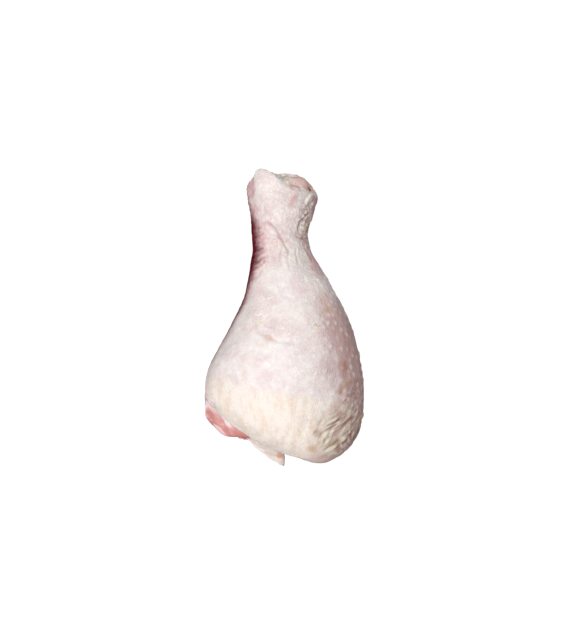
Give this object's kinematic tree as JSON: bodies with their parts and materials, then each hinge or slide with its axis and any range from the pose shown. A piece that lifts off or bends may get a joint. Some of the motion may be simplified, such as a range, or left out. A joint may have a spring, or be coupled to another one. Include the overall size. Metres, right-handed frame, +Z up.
{
  "type": "chicken drumstick",
  "caption": "Raw chicken drumstick lying on its side, skin on: narrow hock with the bone's knuckle in its torn rim, full calf, and a slanted knee cut that shows muscle and cartilage",
  "frame": {"origin": "middle of the base of the bounding box, on the surface the drumstick lies on", "axes": "+Y runs along the leg from the knee cut to the hock, +X to the right when seen from above with the hock away, +Z up"},
  "size_m": [0.0694, 0.1304, 0.0449],
  "materials": {
    "skin": "raw chicken skin, pale pinkish cream, moist",
    "meat": "raw chicken leg muscle, pink, wet",
    "shin_bone": "raw bone with its cartilage ends, cream, moist",
    "knee_cartilage": "raw cartilage, pale and slightly translucent, wet"
  },
  "bodies": {
    "root": {"skin": "skin", "meat": "meat", "shin_bone": "shin_bone", "knee_cartilage": "knee_cartilage"}
  },
  "joints": []
}
